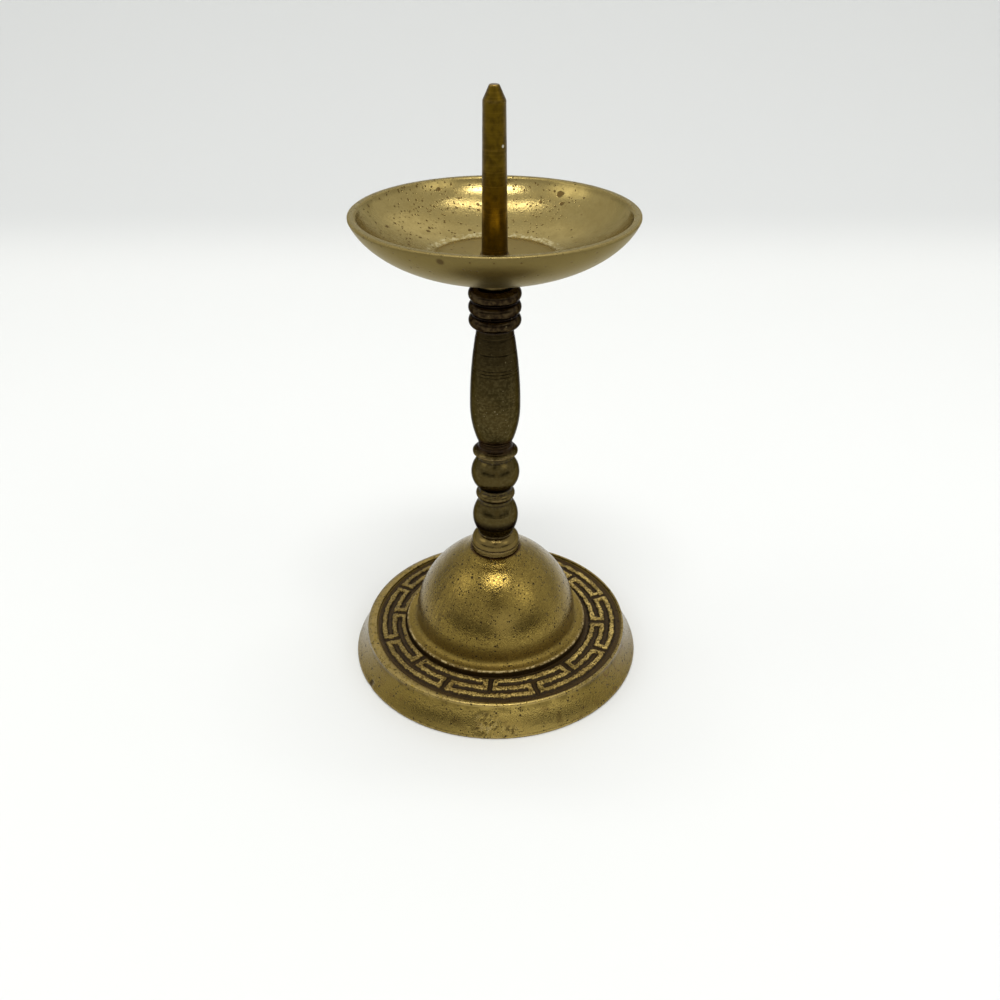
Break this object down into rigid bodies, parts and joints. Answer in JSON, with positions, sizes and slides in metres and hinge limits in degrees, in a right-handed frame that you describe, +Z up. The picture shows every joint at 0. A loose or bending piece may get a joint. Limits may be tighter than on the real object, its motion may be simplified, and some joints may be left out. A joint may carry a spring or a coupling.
{
  "type": "pricket candle stand",
  "caption": "Brass pricket candle stand: domed foot with a raised key-pattern band, turned baluster stem, shallow drip pan and a tapered spike that a candle is pushed onto.",
  "frame": {"origin": "on the ground, under the middle of the foot", "axes": "+Z up along the stem and the spike, -Y towards the side that the picture shows"},
  "size_m": [0.07, 0.07, 0.1324],
  "materials": {
    "cast_brass": "cast, turned and worn, with dark patina in the sunk band",
    "stem_patina": "turned, with a dark brown patina",
    "pan_brass": "turned and dulled, with dark corrosion specks",
    "spike_brass": "turned rod, amber brown",
    "fastener_brass": "dull turned brass"
  },
  "bodies": {
    "stand": {"base": "cast_brass", "stem": "stem_patina", "base_washer": "fastener_brass", "base_nut": "fastener_brass"},
    "pan": {"drip_pan": "pan_brass"},
    "spike": {"spike": "spike_brass"}
  },
  "joints": [
    {"name": "spike_and_pan_turn", "type": "hinge", "parent": "stand", "child": "pan", "pos_m": [0, 0, 0.09366], "axis": [0, 0, 1], "range_deg": [0, 3960]},
    {"name": "spike_lift", "type": "slide", "parent": "pan", "child": "spike", "axis": [0, 0, 1], "range_m": [0, 0.0077]}
  ],
  "couplings": [
    {"joint": "spike_lift", "follows": "spike_and_pan_turn", "m_per_rad": 0.00011141}
  ]
}
